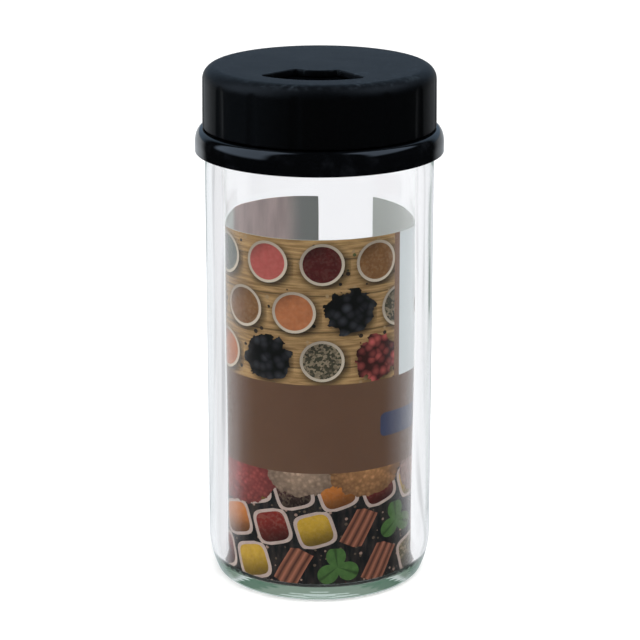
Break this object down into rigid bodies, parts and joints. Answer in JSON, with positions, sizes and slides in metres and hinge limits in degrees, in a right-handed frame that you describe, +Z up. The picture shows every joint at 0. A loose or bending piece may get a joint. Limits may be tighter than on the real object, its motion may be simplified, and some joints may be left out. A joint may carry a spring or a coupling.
{
  "type": "spice jar",
  "caption": "Round glass spice jar with a rolled printed insert, a screw-on sifter collar and a turning dial cap whose fan-shaped opening selects pour, sift or closed.",
  "frame": {"origin": "centre of the base ring's plane, on the jar's axis", "axes": "+Z up along the jar's axis, -Y towards the front of the print, +X to the right seen from the front"},
  "size_m": [0.049, 0.049, 0.1044],
  "materials": {
    "clear_glass": "clear, faintly green in thick places",
    "printed_sheet": "printed outside, plain grey inside",
    "seal_foam": "soft matt",
    "black_gloss": "polished",
    "black_matt": "fine spark-eroded texture"
  },
  "bodies": {
    "jar": {"glass_jar": "clear_glass", "insert_sheet": "printed_sheet"},
    "seal": {"seal_ring": "seal_foam"},
    "collar": {"sifter_collar": "black_gloss"},
    "dial": {"dial_cap": "black_matt"}
  },
  "joints": [
    {"name": "closure_rise", "type": "slide", "parent": "jar", "child": "seal", "axis": [0, 0, 1], "range_m": [0, 0.00631]},
    {"name": "closure_turn", "type": "hinge", "parent": "seal", "child": "collar", "pos_m": [0, 0, 0.0957], "axis": [0, 0, 1], "range_deg": [0, 540]},
    {"name": "dial_turn", "type": "hinge", "parent": "collar", "child": "dial", "pos_m": [0, 0, 0.103], "axis": [0, 0, 1], "continuous": true}
  ],
  "couplings": [
    {"joint": "closure_rise", "follows": "closure_turn", "m_per_rad": 0.00066845}
  ]
}
